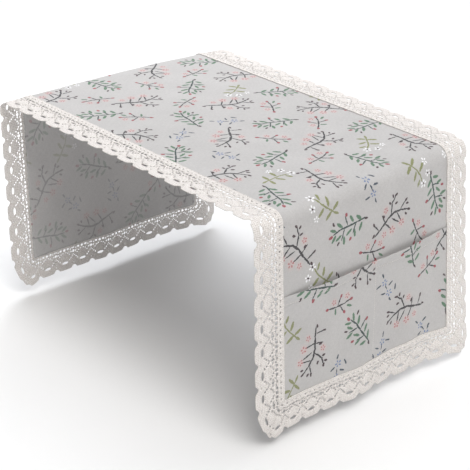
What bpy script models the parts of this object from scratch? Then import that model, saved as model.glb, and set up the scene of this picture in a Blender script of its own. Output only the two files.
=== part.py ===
"""Microwave cover: a printed cloth runner with a lace trim, draped over a box-shaped appliance.

The cloth lies flat on the top and hangs down at the right (+X) and the left (-X). Front is -Y, up is +Z.
The origin is at the middle of the underside of the top, where the cover rests. Sizes are in metres.

Every piece is first laid out flat. A flat place is (u, v): u runs along the cloth, over the top and down
the flaps, and v runs from the front edge to the back edge. drape() then gives each flat place its place
on the hanging cover, so that neighbouring pieces follow the same folds.
"""

import math

import bmesh
import bpy
from mathutils import Vector

# The cloth, flat
CLOTH_HALF_LENGTH = 0.478
CLOTH_HALF_DEPTH = 0.1375
SHEET = 0.002
SEAM_GAP = 0.0003
MITRE_GAP = 0.0006

# The lace, flat: its width to the tips of the lobes, and the round bite out of its edge between two lobes.
# A phase counts repeats of the pattern: it is whole at a notch, and a half at the middle of a lobe.
LACE_WIDTH = 0.0415
NOTCH_DEPTH = 0.0047
BITE_DEPTH = 0.0036
BITE_PHASE = 0.18
EDGE_PHASES = (0.25, 0.38, 0.5, 0.62, 0.75, 0.83, 0.92, 1.0, 1.08, 1.17, 1.25)
LONG_REPEATS = 32
SHORT_REPEATS = 9
CORNER_LOBE_RADIUS = 0.0088

# The gaps of each repeat that are wider than 4 mm:
# phase, distance from the seam, half length, half width, corners
LACE_GAPS = (
    (0.5, 0.0308, 0.0053, 0.0017, 8),
    (0.5, 0.0112, 0.0025, 0.0022, 4),
    (1.0, 0.0158, 0.0022, 0.0024, 4),
)
MITRE_MARGIN = 0.0016
SPARE_REPEATS = 2

# The pocket on the right flap
POCKET_SHEET = 0.0015
POCKET_TOP = 0.098
POCKET_HALF_DEPTH = 0.1363
POCKET_HEM_SHORT = 0.0012
DIVIDER_V = 0.009

# Where the bend starts and ends along u, and how finely it is divided
BEND_START = 0.2360
BEND_END = 0.2575
BEND_STEPS = 6
FLAP_STEPS = 8
TOP_STEPS = 8
DEPTH_STEPS = 18

# How the cover hangs, section by section from front to back:
# v, x where the bend starts, bend radius, flap's lean outwards in degrees, depth of the cloth's hem,
# how far the hem's place drifts along Y
SECTIONS = (
    (-0.179, 0.2365, 0.0135, 0.6, 0.2370, 0.0030),
    (-0.1375, 0.2365, 0.0135, 0.6, 0.2335, 0.0030),
    (-0.060, 0.2360, 0.0138, 0.7, 0.2335, 0.0010),
    (0.000, 0.2350, 0.0142, 0.9, 0.2338, 0.0000),
    (0.060, 0.2320, 0.0150, 1.5, 0.2332, 0.0000),
    (0.1375, 0.2240, 0.0162, 3.2, 0.2350, 0.0010),
    (0.179, 0.2185, 0.0165, 4.4, 0.2450, 0.0070),
)

# How far the hem swings outwards at each fold of the right flap: v, swing
SWINGS = (
    (-0.179, -0.0010),
    (-0.150, 0.0005),
    (-0.107, -0.0012),
    (-0.060, -0.0002),
    (-0.016, 0.0030),
    (0.010, 0.0000),
    (0.042, -0.0022),
    (0.071, -0.0008),
    (0.099, -0.0026),
    (0.1375, 0.0018),
    (0.160, 0.0010),
    (0.182, -0.0040),
)
LEFT_SWING = -0.7
SWING_POWER = 1.4

# The lace corner at the front is drawn back and droops at its tip
CORNER_TUCK = 0.018
CORNER_DROOP = 0.005

# How far the pocket's mouth gapes, from seam to seam: v, gape
GAPES = (
    (-POCKET_HALF_DEPTH, 0.0),
    (-0.106, 0.0040),
    (-0.066, 0.0066),
    (-0.026, 0.0044),
    (DIVIDER_V, 0.0),
    (0.026, 0.0050),
    (0.050, 0.0068),
    (0.090, 0.0044),
    (POCKET_HALF_DEPTH, 0.0),
)
GAPE_POWER = 1.6

# Finite step for the sheet's normal, and the distance under which two points of a flat sheet are one
NORMAL_STEP = 0.0005
SAME_POINT = 1e-6

COLOURS = {
    "cloth": (0.58, 0.55, 0.53),
    "pocket": (0.57, 0.54, 0.52),
    "lace": (0.76, 0.71, 0.65),
}


def clear_scene():
    for item in list(bpy.data.objects):
        bpy.data.objects.remove(item, do_unlink=True)


def material(name):
    made = bpy.data.materials.new(name)
    made.use_nodes = True
    shader = made.node_tree.nodes["Principled BSDF"]
    shader.inputs["Base Color"].default_value = (*COLOURS[name], 1.0)
    shader.inputs["Roughness"].default_value = 0.9
    shader.inputs["Metallic"].default_value = 0.0
    return made


def read_table(rows, v):
    """The row for v, eased from one row of the table to the next, so the sheet has no creases."""
    if v <= rows[0][0]:
        return rows[0][1:]
    for low, high in zip(rows, rows[1:]):
        if v <= high[0]:
            share = (v - low[0]) / (high[0] - low[0])
            share = share * share * (3.0 - 2.0 * share)
            return tuple(a + (b - a) * share for a, b in zip(low[1:], high[1:]))
    return rows[-1][1:]


def middle_surface(u, v):
    """The middle of the sheet's thickness at a flat place (u, v)."""
    side = 1.0 if u >= 0.0 else -1.0
    along = abs(u)
    bend_x, radius, lean_degrees, hem_drop, drift = read_table(SECTIONS, v)
    lean = math.radians(lean_degrees)
    height = SHEET / 2
    if along <= BEND_START:
        return Vector((side * along * bend_x / BEND_START, v, height))
    turn = min(1.0, (along - BEND_START) / (BEND_END - BEND_START)) * (math.pi / 2 - lean)
    x = bend_x + radius * math.sin(turn)
    z = height - radius * (1.0 - math.cos(turn))
    if along <= BEND_END:
        return Vector((side * x, v, z))
    flap = CLOTH_HALF_LENGTH - BEND_END
    share = (along - BEND_END) / flap
    fall = (hem_drop + z) / math.cos(lean) * share
    (swing,) = read_table(SWINGS, v)
    swing *= share**SWING_POWER
    if side < 0.0:
        swing *= LEFT_SWING
    over_u = max(0.0, along - CLOTH_HALF_LENGTH) / LACE_WIDTH
    over_front = max(0.0, -CLOTH_HALF_DEPTH - v) / LACE_WIDTH
    corner = over_u * over_front
    x += fall * math.sin(lean) + swing * math.cos(lean)
    y = v + drift * share * share + CORNER_TUCK * corner
    z += -fall * math.cos(lean) + swing * math.sin(lean) - CORNER_DROOP * corner
    return Vector((side * x, y, z))


def drape(u, v, lift=0.0):
    """A flat place on the hanging cover, lifted off the middle of the sheet towards its outer side."""
    place = middle_surface(u, v)
    if not lift:
        return place
    along_u = middle_surface(u + NORMAL_STEP, v) - middle_surface(u - NORMAL_STEP, v)
    along_v = middle_surface(u, v + NORMAL_STEP) - middle_surface(u, v - NORMAL_STEP)
    return place + along_u.cross(along_v).normalized() * lift


def cut_line(mesh, axis, value):
    """Divides a flat sheet along a line of equal u (axis 0) or equal v (axis 1)."""
    normal = Vector((0.0, 0.0, 0.0))
    normal[axis] = 1.0
    place = normal * value
    everything = mesh.verts[:] + mesh.edges[:] + mesh.faces[:]
    bmesh.ops.bisect_plane(mesh, geom=everything, dist=SAME_POINT, plane_co=place, plane_no=normal)


def cut_away(mesh, place, normal):
    """Cuts a flat sheet along a line and drops what lies on the normal's side."""
    everything = mesh.verts[:] + mesh.edges[:] + mesh.faces[:]
    bmesh.ops.bisect_plane(
        mesh, geom=everything, dist=SAME_POINT, plane_co=place, plane_no=normal, clear_outer=True
    )


def bend_lines():
    """The lines of equal u that each bend needs to look round."""
    size = (BEND_END - BEND_START) / BEND_STEPS
    lines = [BEND_START + step * size for step in range(BEND_STEPS + 1)]
    return [-line for line in reversed(lines)] + lines


def hang(mesh, name, colour, thickness, lift=None):
    """Drapes a flat sheet, gives it its thickness and makes it an object."""
    for vert in mesh.verts:
        u, v = vert.co.x, vert.co.y
        vert.co = drape(u, v, lift(u, v) if lift else 0.0)
    bmesh.ops.recalc_face_normals(mesh, faces=mesh.faces[:])
    data = bpy.data.meshes.new(name)
    mesh.to_mesh(data)
    mesh.free()
    data.materials.append(colour)
    made = bpy.data.objects.new(name, data)
    bpy.context.scene.collection.objects.link(made)
    wall = made.modifiers.new("thickness", "SOLIDIFY")
    wall.thickness = thickness
    wall.offset = 0.0
    return made


def flat_sheet(low_u, high_u, low_v, high_v):
    """One flat rectangle."""
    mesh = bmesh.new()
    corners = ((low_u, low_v), (high_u, low_v), (high_u, high_v), (low_u, high_v))
    mesh.faces.new([mesh.verts.new((u, v, 0.0)) for u, v in corners])
    return mesh


def make_cloth(colour):
    """The printed panel: flat on the top, bent over both sides and hanging in soft folds."""
    mesh = flat_sheet(-CLOTH_HALF_LENGTH, CLOTH_HALF_LENGTH, -CLOTH_HALF_DEPTH, CLOTH_HALF_DEPTH)
    for step in range(1, TOP_STEPS):
        cut_line(mesh, 0, -BEND_START + 2.0 * BEND_START * step / TOP_STEPS)
    for line in bend_lines():
        cut_line(mesh, 0, line)
    for step in range(1, FLAP_STEPS):
        line = BEND_END + (CLOTH_HALF_LENGTH - BEND_END) * step / FLAP_STEPS
        cut_line(mesh, 0, line)
        cut_line(mesh, 0, -line)
    for step in range(1, DEPTH_STEPS):
        cut_line(mesh, 1, -CLOTH_HALF_DEPTH + 2.0 * CLOTH_HALF_DEPTH * step / DEPTH_STEPS)
    return hang(mesh, "cloth", colour, SHEET)


def pocket_top_u():
    """The place along u of the pocket's mouth."""
    flap = CLOTH_HALF_LENGTH - BEND_END
    bend_drop = SECTIONS[1][2]
    return BEND_END + flap * (POCKET_TOP - bend_drop) / (SECTIONS[1][4] - bend_drop)


def pocket_lift(u, v):
    """How far the pocket stands off the cloth: touching at its seams, and gaping at its mouth."""
    seat = SHEET / 2 + SEAM_GAP + POCKET_SHEET / 2
    bottom = CLOTH_HALF_LENGTH - POCKET_HEM_SHORT
    share = (bottom - u) / (bottom - pocket_top_u())
    (gape,) = read_table(GAPES, v)
    return seat + gape * max(0.0, share) ** GAPE_POWER


def make_pocket(colour):
    """The patch pocket on the right flap, with a row of stitches that parts it in two."""
    bottom = CLOTH_HALF_LENGTH - POCKET_HEM_SHORT
    mouth = pocket_top_u()
    mesh = flat_sheet(mouth, bottom, -POCKET_HALF_DEPTH, POCKET_HALF_DEPTH)
    for step in range(1, FLAP_STEPS):
        cut_line(mesh, 0, mouth + (bottom - mouth) * step / FLAP_STEPS)
    for step in range(1, DEPTH_STEPS):
        cut_line(mesh, 1, -CLOTH_HALF_DEPTH + 2.0 * CLOTH_HALF_DEPTH * step / DEPTH_STEPS)
    cut_line(mesh, 1, DIVIDER_V)
    return hang(mesh, "pocket", colour, POCKET_SHEET, pocket_lift)


def lace_edge(along, half_length, pitch):
    """How far the outer edge of the lace lies from the seam: lobes, notches and a round lobe at each end."""
    past = abs(along) - half_length - pitch
    if past > 0.0:
        centre = LACE_WIDTH - NOTCH_DEPTH - CORNER_LOBE_RADIUS
        return centre + math.sqrt(max(0.0, CORNER_LOBE_RADIUS**2 - past**2))
    phase = (along + half_length) / pitch
    from_notch = abs(phase - round(phase))
    bite = BITE_DEPTH * max(0.0, 1.0 - (from_notch / BITE_PHASE) ** 2)
    crown = (NOTCH_DEPTH - BITE_DEPTH) * (1.0 - 2.0 * from_notch) ** 2
    return LACE_WIDTH - bite - crown


def gap_corners(along, across, half_long, half_wide, corners):
    """The corners of one gap in the lace."""
    turns = [2.0 * math.pi * corner / corners for corner in range(corners)]
    return [(along + half_long * math.cos(turn), across + half_wide * math.sin(turn)) for turn in turns]


def fill_piece(mesh, loops):
    """Fills the outline of a piece of lace, leaving its gaps open."""
    edges = []
    for loop in loops:
        verts = [mesh.verts.new((along, across, 0.0)) for along, across in loop]
        edges += [mesh.edges.new(pair) for pair in zip(verts, verts[1:] + verts[:1])]
    bmesh.ops.triangle_fill(mesh, use_beauty=True, use_dissolve=False, edges=edges)


def lace_repeat(mesh, number, half_length, pitch):
    """One repeat of the lace, from the side of one lobe to the side of the next, with its gaps."""
    start = number * pitch - half_length
    edge = [start + pitch * phase for phase in reversed(EDGE_PHASES)]
    loops = [[(edge[-1], 0.0), (edge[0], 0.0)]]
    loops[0] += [(along, lace_edge(along, half_length, pitch)) for along in edge]
    for phase, across, half_long, half_wide, corners in LACE_GAPS:
        along = start + pitch * phase
        to_mitre = (across + half_length - abs(along)) / math.sqrt(2.0)
        if to_mitre > half_long + MITRE_MARGIN:
            loops.append(gap_corners(along, across, half_long, half_wide, corners))
    fill_piece(mesh, loops)


def lace_strip(name, colour, half_length, repeats, place):
    """A length of lace with a scalloped edge, mitred at both ends."""
    mesh = bmesh.new()
    pitch = 2.0 * half_length / repeats
    for number in range(-SPARE_REPEATS, repeats + SPARE_REPEATS - 1):
        lace_repeat(mesh, number, half_length, pitch)
    bmesh.ops.remove_doubles(mesh, verts=mesh.verts[:], dist=SAME_POINT)
    room = MITRE_GAP / 2 * math.sqrt(2.0)
    for side in (-1.0, 1.0):
        cut_away(mesh, Vector((side * (half_length - room), 0.0, 0.0)), Vector((side, -1.0, 0.0)))
    for vert in mesh.verts:
        u, v = place(vert.co.x, vert.co.y + SEAM_GAP)
        vert.co = Vector((u, v, 0.0))
    for line in bend_lines():
        cut_line(mesh, 0, line)
    return hang(mesh, name, colour, SHEET)


def make_lace(colour):
    """The four lengths of lace around the cloth."""
    lace_strip(
        "lace_front", colour, CLOTH_HALF_LENGTH, LONG_REPEATS,
        lambda along, across: (along, -CLOTH_HALF_DEPTH - across),
    )
    lace_strip(
        "lace_back", colour, CLOTH_HALF_LENGTH, LONG_REPEATS,
        lambda along, across: (along, CLOTH_HALF_DEPTH + across),
    )
    lace_strip(
        "lace_hem_right", colour, CLOTH_HALF_DEPTH, SHORT_REPEATS,
        lambda along, across: (CLOTH_HALF_LENGTH + across, along),
    )
    lace_strip(
        "lace_hem_left", colour, CLOTH_HALF_DEPTH, SHORT_REPEATS,
        lambda along, across: (-CLOTH_HALF_LENGTH - across, along),
    )


clear_scene()
make_cloth(material("cloth"))
make_pocket(material("pocket"))
make_lace(material("lace"))
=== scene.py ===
# %% [markdown]
# # A microwave cover in printed cloth and cotton lace
#
# The real cover is a runner of printed cotton and linen. It lies over a flat top and hangs down as a flap at
# each side. A pocket is sewn on the right flap, and cotton lace runs all the way round.
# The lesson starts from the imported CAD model: it gives the place and the size of every piece, and here each
# piece is made again with its true thickness, its threads and its printed flowers.

# %% Load the frame
import math

import bmesh
import bpy
from mathutils import Matrix, Vector


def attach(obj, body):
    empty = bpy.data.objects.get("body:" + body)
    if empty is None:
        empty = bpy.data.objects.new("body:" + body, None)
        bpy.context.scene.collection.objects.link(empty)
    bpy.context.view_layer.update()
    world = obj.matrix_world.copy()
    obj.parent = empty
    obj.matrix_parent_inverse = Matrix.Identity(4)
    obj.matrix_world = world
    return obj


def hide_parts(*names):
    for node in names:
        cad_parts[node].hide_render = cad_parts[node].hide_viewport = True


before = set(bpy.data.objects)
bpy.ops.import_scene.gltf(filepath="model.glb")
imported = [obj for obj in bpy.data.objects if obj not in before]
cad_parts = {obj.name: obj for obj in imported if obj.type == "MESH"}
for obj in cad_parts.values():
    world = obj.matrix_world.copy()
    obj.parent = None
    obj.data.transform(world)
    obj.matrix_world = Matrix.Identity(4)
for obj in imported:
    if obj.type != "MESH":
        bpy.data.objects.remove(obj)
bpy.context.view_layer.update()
print("solids in the frame:", sorted(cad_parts))

# %% [markdown]
# ## Where the cloth hangs
#
# Cloth is easiest to make in two steps. First every piece is laid out flat, as on a cutting table: u runs
# along the cloth, over the top and down both flaps, and v runs from the front edge to the back edge. Then
# one function, drape(), lifts each flat place to its place on the hanging cover. A simulation would fall
# differently each time a number is changed; this way the pocket, the lace and the stitches all follow the
# same folds, and they lie where the solids of the frame lie.

# %% The cut of the cover, in metres
CLOTH_HALF_LENGTH = 0.478
CLOTH_HALF_DEPTH = 0.1375
SOLID_SHEET = 0.002
LACE_WIDTH = 0.0415
POCKET_TOP = 0.098
DIVIDER_V = 0.009
BEND_START = 0.2360
BEND_END = 0.2575

# v, x where the bend starts, bend radius, flap's lean in degrees, depth of the hem, drift along Y
SECTIONS = (
    (-0.179, 0.2365, 0.0135, 0.6, 0.2370, 0.0030),
    (-0.1375, 0.2365, 0.0135, 0.6, 0.2335, 0.0030),
    (-0.060, 0.2360, 0.0138, 0.7, 0.2335, 0.0010),
    (0.000, 0.2350, 0.0142, 0.9, 0.2338, 0.0000),
    (0.060, 0.2320, 0.0150, 1.5, 0.2332, 0.0000),
    (0.1375, 0.2240, 0.0162, 3.2, 0.2350, 0.0010),
    (0.179, 0.2185, 0.0165, 4.4, 0.2450, 0.0070),
)
# v, how far the hem swings outwards at each fold of the right flap
SWINGS = (
    (-0.179, -0.0010),
    (-0.150, 0.0005),
    (-0.107, -0.0012),
    (-0.060, -0.0002),
    (-0.016, 0.0030),
    (0.010, 0.0000),
    (0.042, -0.0022),
    (0.071, -0.0008),
    (0.099, -0.0026),
    (0.1375, 0.0018),
    (0.160, 0.0010),
    (0.182, -0.0040),
)
LEFT_SWING = -0.7
SWING_POWER = 1.4
CORNER_TUCK = 0.018
CORNER_DROOP = 0.005
NORMAL_STEP = 0.0005

# Soft troughs and ridges: u, v, half length along u, half width along v, height
SOFT_FOLDS = (
    (0.300, -0.088, 0.050, 0.014, 0.0007),
    (0.352, -0.028, 0.070, 0.016, -0.0006),
    (0.400, 0.052, 0.060, 0.015, 0.0007),
    (0.452, -0.066, 0.034, 0.013, 0.0008),
    (0.462, 0.098, 0.030, 0.015, -0.0008),
    (0.330, 0.108, 0.060, 0.012, 0.0006),
    (0.268, 0.020, 0.022, 0.050, 0.0005),
    (0.150, -0.060, 0.090, 0.020, 0.0004),
    (0.060, 0.070, 0.060, 0.030, -0.0003),
    (-0.060, -0.030, 0.100, 0.018, 0.0004),
    (-0.170, 0.050, 0.070, 0.026, 0.0004),
    (-0.320, -0.070, 0.060, 0.016, 0.0008),
    (-0.380, 0.030, 0.070, 0.018, -0.0007),
    (-0.440, 0.090, 0.040, 0.015, 0.0008),
)


def eased(value, low, high):
    """From 0 at low to 1 at high, with a soft start and end."""
    share = min(1.0, max(0.0, (value - low) / (high - low)))
    return share * share * (3.0 - 2.0 * share)


def read_table(rows, v):
    """The row for v, eased from one row of the table to the next, so the sheet has no creases."""
    if v <= rows[0][0]:
        return rows[0][1:]
    for low, high in zip(rows, rows[1:]):
        if v <= high[0]:
            share = eased(v, low[0], high[0])
            return tuple(a + (b - a) * share for a, b in zip(low[1:], high[1:]))
    return rows[-1][1:]


# %% From the flat cloth to the hanging cover
def middle_surface(u, v):
    """The middle of the solid sheet at a flat place, as in the frame."""
    side = 1.0 if u >= 0.0 else -1.0
    along = abs(u)
    bend_x, radius, lean_degrees, hem_drop, drift = read_table(SECTIONS, v)
    lean = math.radians(lean_degrees)
    height = SOLID_SHEET / 2
    if along <= BEND_START:
        return Vector((side * along * bend_x / BEND_START, v, height))
    turn = min(1.0, (along - BEND_START) / (BEND_END - BEND_START)) * (math.pi / 2 - lean)
    x = bend_x + radius * math.sin(turn)
    z = height - radius * (1.0 - math.cos(turn))
    if along <= BEND_END:
        return Vector((side * x, v, z))
    share = (along - BEND_END) / (CLOTH_HALF_LENGTH - BEND_END)
    fall = (hem_drop + z) / math.cos(lean) * share
    (swing,) = read_table(SWINGS, v)
    swing *= share**SWING_POWER
    if side < 0.0:
        swing *= LEFT_SWING
    over_u = max(0.0, along - CLOTH_HALF_LENGTH) / LACE_WIDTH
    over_front = max(0.0, -CLOTH_HALF_DEPTH - v) / LACE_WIDTH
    corner = over_u * over_front
    x += fall * math.sin(lean) + swing * math.cos(lean)
    y = v + drift * share * share + CORNER_TUCK * corner
    z += -fall * math.cos(lean) + swing * math.sin(lean) - CORNER_DROOP * corner
    return Vector((side * x, y, z))


def soft_fold(u, v):
    """The small troughs and ridges at a flat place."""
    rise = 0.0
    for fold_u, fold_v, long, wide, height in SOFT_FOLDS:
        rise += height * math.exp(-(((u - fold_u) / long) ** 2) - ((v - fold_v) / wide) ** 2)
    return rise


def outward(u, v):
    """The direction in which the cover's outer side faces at a flat place."""
    along_u = middle_surface(u + NORMAL_STEP, v) - middle_surface(u - NORMAL_STEP, v)
    along_v = middle_surface(u, v + NORMAL_STEP) - middle_surface(u, v - NORMAL_STEP)
    return along_u.cross(along_v).normalized()


def drape(u, v, lift):
    """A flat place on the hanging cover, lifted off the middle of the solid sheet."""
    return middle_surface(u, v) + outward(u, v) * (lift + soft_fold(u, v))


print("hem of the right flap:", [round(value, 4) for value in middle_surface(CLOTH_HALF_LENGTH, 0.0)])

# %% [markdown]
# ## Helpers for flat sheets
#
# A flat sheet can be cut from a grid of faces. The bisect operator adds a line exactly where the cloth
# bends, so the fine faces are only where they are needed. When the sheet is draped, each corner first
# writes its flat place into a UV map named flat. The weave and the print read that map, so they run round
# the bends as they do on real cloth.

# %% Cut a flat sheet
SAME_POINT = 1e-6
BEND_STEPS = 14


def cut(mesh, place, normal, clear_outer=False):
    """Divides a flat sheet along the line through a place, at right angles to the normal."""
    everything = mesh.verts[:] + mesh.edges[:] + mesh.faces[:]
    bmesh.ops.bisect_plane(
        mesh, geom=everything, dist=SAME_POINT, plane_co=place, plane_no=normal, clear_outer=clear_outer
    )


def cut_line(mesh, axis, value):
    """Divides a flat sheet along a line of equal u (axis 0) or equal v (axis 1)."""
    normal = Vector((0.0, 0.0, 0.0))
    normal[axis] = 1.0
    cut(mesh, normal * value, normal)


def cut_bends(mesh):
    """Divides a flat sheet finely where it bends over the two top edges."""
    for step in range(BEND_STEPS + 1):
        line = BEND_START + (BEND_END - BEND_START) * step / BEND_STEPS
        cut_line(mesh, 0, line)
        cut_line(mesh, 0, -line)


def flat_grid(low_u, high_u, low_v, high_v, face_size):
    """A flat rectangle of faces of about one size."""
    mesh = bmesh.new()
    half_u = (high_u - low_u) / 2
    half_v = (high_v - low_v) / 2
    counts = [round(2 * half / face_size) for half in (half_u, half_v)]
    bmesh.ops.create_grid(mesh, x_segments=counts[0], y_segments=counts[1], size=1.0)
    middle = Vector(((low_u + high_u) / 2, (low_v + high_v) / 2, 0.0))
    fit = Matrix.Translation(middle) @ Matrix.Diagonal((half_u, half_v, 1.0, 1.0))
    bmesh.ops.transform(mesh, matrix=fit, verts=mesh.verts)
    return mesh


# %% Drape a sheet
def add_object(name, data):
    """Puts a mesh, a lamp or a camera into the scene."""
    made = bpy.data.objects.new(name, data)
    bpy.context.scene.collection.objects.link(made)
    return made


def mesh_data(mesh, name):
    """Turns a bmesh into the mesh of an object."""
    data = bpy.data.meshes.new(name)
    mesh.to_mesh(data)
    mesh.free()
    return data


def hang(mesh, name, thickness, lift, map_shift=(0.0, 0.0)):
    """Writes the flat map, drapes the sheet and gives it its thickness."""
    mesh.normal_update()
    flat_map = mesh.loops.layers.uv.new("flat")
    shift = Vector(map_shift)
    for face in mesh.faces:
        face.smooth = True
        if face.normal.z < 0.0:
            face.normal_flip()
        for loop in face.loops:
            loop[flat_map].uv = loop.vert.co.xy + shift
    for vert in mesh.verts:
        u, v, rise = vert.co
        vert.co = drape(u, v, lift(u, v) + rise)
    made = add_object(name, mesh_data(mesh, name))
    wall = made.modifiers.new("thickness", "SOLIDIFY")
    wall.thickness = thickness
    wall.offset = 0.0
    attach(made, "root")
    return made


# %% [markdown]
# ## The printed cloth
#
# The main panel is one piece of cloth, a little under a millimetre thick. Its edges go on for some
# millimetres under the lace, as a seam allowance does. Sewing draws the edge in a little, which leaves small
# puckers beside the seam. They are made here as a low ripple that dies away from the seam, with an uneven
# rhythm, because even ripples look machined.

# %% Make the cloth
CLOTH_THICKNESS = 0.0009
CLOTH_LIFT = 0.00035
SEAM_ALLOWANCE = 0.006
CLOTH_FACE = 0.0036
PUCKER_HEIGHT = 0.00016
PUCKER_LENGTH = 0.0165
PUCKER_REACH = 0.009
# How far the rhythm of the puckers sways along u and along v, and how fast
SWAY_U = (1.7, 31.0)
SWAY_V = (1.4, 43.0)


def beat(along, sway, pace):
    """A ripple along a seam with an uneven rhythm."""
    return math.sin(2.0 * math.pi * along / PUCKER_LENGTH + sway * math.sin(pace * along))


def pucker(u, v):
    """The low ripple of the cloth beside its seams."""
    near_side = math.exp(-abs(CLOTH_HALF_DEPTH - abs(v)) / PUCKER_REACH)
    near_end = math.exp(-abs(CLOTH_HALF_LENGTH - abs(u)) / PUCKER_REACH)
    return PUCKER_HEIGHT * (beat(u, *SWAY_U) * near_side + beat(v, *SWAY_V) * near_end)


def cloth_lift(u, v):
    """How far the cloth stands off the middle of the solid sheet."""
    return CLOTH_LIFT + pucker(u, v)


cloth_half_u = CLOTH_HALF_LENGTH + SEAM_ALLOWANCE
cloth_half_v = CLOTH_HALF_DEPTH + SEAM_ALLOWANCE
cloth_mesh = flat_grid(-cloth_half_u, cloth_half_u, -cloth_half_v, cloth_half_v, CLOTH_FACE)
cut_bends(cloth_mesh)
printed_cloth = hang(cloth_mesh, "printed_cloth", CLOTH_THICKNESS, cloth_lift)
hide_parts("cloth")
print("cloth faces:", len(printed_cloth.data.polygons))

# %% [markdown]
# ## The pocket
#
# The pocket is a second, smaller panel of the same cloth on the right flap. It is sewn at its sides, at its
# bottom and down its middle, so it has two compartments, and its mouth gapes a little between the seams. The
# mouth has a hem: the cloth is folded back over itself, so a band along the mouth is thicker. A raised band
# with a soft step at its lower edge shows that without a second layer of faces.

# %% Make the pocket
POCKET_THICKNESS = 0.0009
POCKET_LIFT = 0.0013
POCKET_UNDER_LACE = 0.003
POCKET_HALF_DEPTH = CLOTH_HALF_DEPTH + POCKET_UNDER_LACE
POCKET_BOTTOM = CLOTH_HALF_LENGTH + POCKET_UNDER_LACE
POCKET_FACE = 0.0030
MOUTH_HEM = 0.0115
MOUTH_HEM_RISE = 0.0004
HEM_STEP = 0.0008
HEM_STEP_FACE = 0.0010
MOUTH_EDGE_FACE = 0.0006
GAPE_POWER = 1.6
# The print on the pocket was cut elsewhere from the same cloth, so its flowers don't line up
POCKET_PRINT_SHIFT = (0.0330, -0.0240)

# v, how far the mouth gapes, how far it sags
MOUTH = (
    (-0.1363, 0.0, 0.0036),
    (-0.106, 0.0034, 0.0036),
    (-0.066, 0.0056, 0.0036),
    (-0.026, 0.0042, 0.0034),
    (DIVIDER_V, 0.0014, 0.0032),
    (0.026, 0.0044, 0.0026),
    (0.050, 0.0060, 0.0020),
    (0.090, 0.0040, 0.0014),
    (0.1363, 0.0, 0.0008),
)

# The height of the mouth, turned into a place along u at the front seam
FLAP = CLOTH_HALF_LENGTH - BEND_END
BEND_DROP = SECTIONS[1][2]
POCKET_MOUTH = BEND_END + FLAP * (POCKET_TOP - BEND_DROP) / (SECTIONS[1][4] - BEND_DROP)


def mouth_sag(v):
    """How far the pocket's mouth sags at v."""
    return read_table(MOUTH, v)[1]


def pocket_lift(u, v):
    """How far the pocket stands off: touching at its seams, gaping and thicker at its mouth."""
    gape, sag = read_table(MOUTH, v)
    from_mouth = u - POCKET_MOUTH - sag
    share = max(0.0, (CLOTH_HALF_LENGTH - u) / (CLOTH_HALF_LENGTH - POCKET_MOUTH - sag))
    hem = MOUTH_HEM_RISE * (1.0 - eased(from_mouth, MOUTH_HEM - HEM_STEP, MOUTH_HEM + HEM_STEP))
    return POCKET_LIFT + gape * share**GAPE_POWER + hem + pucker(u, v)


pocket_mesh = flat_grid(
    POCKET_MOUTH, POCKET_BOTTOM, -POCKET_HALF_DEPTH, POCKET_HALF_DEPTH, POCKET_FACE
)
for line in (MOUTH_HEM - HEM_STEP_FACE, MOUTH_HEM, MOUTH_HEM + HEM_STEP_FACE, MOUTH_EDGE_FACE):
    cut_line(pocket_mesh, 0, POCKET_MOUTH + line)
cut_line(pocket_mesh, 1, DIVIDER_V)
for vert in pocket_mesh.verts:
    sag = mouth_sag(vert.co.y)
    vert.co.x += sag * (POCKET_BOTTOM - vert.co.x) / (POCKET_BOTTOM - POCKET_MOUTH)
pocket = hang(pocket_mesh, "patch_pocket", POCKET_THICKNESS, pocket_lift, POCKET_PRINT_SHIFT)
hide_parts("pocket")
print("pocket mouth at u =", round(POCKET_MOUTH, 4))

# %% [markdown]
# ## The cotton lace
#
# Lace of this kind is a straight band of twisted threads: a plain footing along the seam, a net of small
# holes, and a row of dense fans whose outer edge is scalloped. Each fan has one long slit near its edge. The
# band repeats every 30 mm. It could be a picture with see-through parts, but then it would have no
# thickness, so the holes are really cut here: one flat outline per strip, every hole as a circle that is
# stretched to its shape, and one fill operator for the band between them. The rims of the holes are then
# pressed down a little and the bars between them raised, which gives each bar the roundness of thread.

# %% The pattern of the lace
NOTCH_DEPTH = 0.0047
BITE_DEPTH = 0.0036
BITE_PHASE = 0.18
CORNER_LOBE_RADIUS = 0.0088
LONG_REPEATS = 32
SHORT_REPEATS = 9
SPARE_REPEATS = 2
EDGE_SAMPLES = 36
PICOTS = 9
PICOT_HEIGHT = 0.0006
PICOT_MIDDLE = 0.6

# One half of a repeat, mirrored about the fan's middle line:
# place along the band from the fan's middle, place across it from the seam, half length, half width
LACE_HOLES = (
    (0.0000, 0.0308, 0.0055, 0.0019),
    (0.0082, 0.0277, 0.0013, 0.0011),
    (0.0107, 0.0251, 0.0013, 0.0011),
    (0.0131, 0.0225, 0.0010, 0.0010),
    (0.0025, 0.0151, 0.0013, 0.0010),
    (0.0056, 0.0166, 0.0013, 0.0011),
    (0.0084, 0.0193, 0.0013, 0.0011),
    (0.0112, 0.0160, 0.0015, 0.0013),
    (0.0000, 0.0110, 0.0022, 0.0019),
    (0.0061, 0.0108, 0.0022, 0.0015),
    (0.0103, 0.0118, 0.0013, 0.0011),
    (0.0150, 0.0158, 0.0019, 0.0023),
    (0.0150, 0.0207, 0.0010, 0.0010),
    (0.0140, 0.0106, 0.0012, 0.0011),
    (0.0150, 0.0335, 0.0009, 0.0008),
    (0.0036, 0.0054, 0.0012, 0.0009),
    (0.0110, 0.0054, 0.0012, 0.0009),
)


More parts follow.
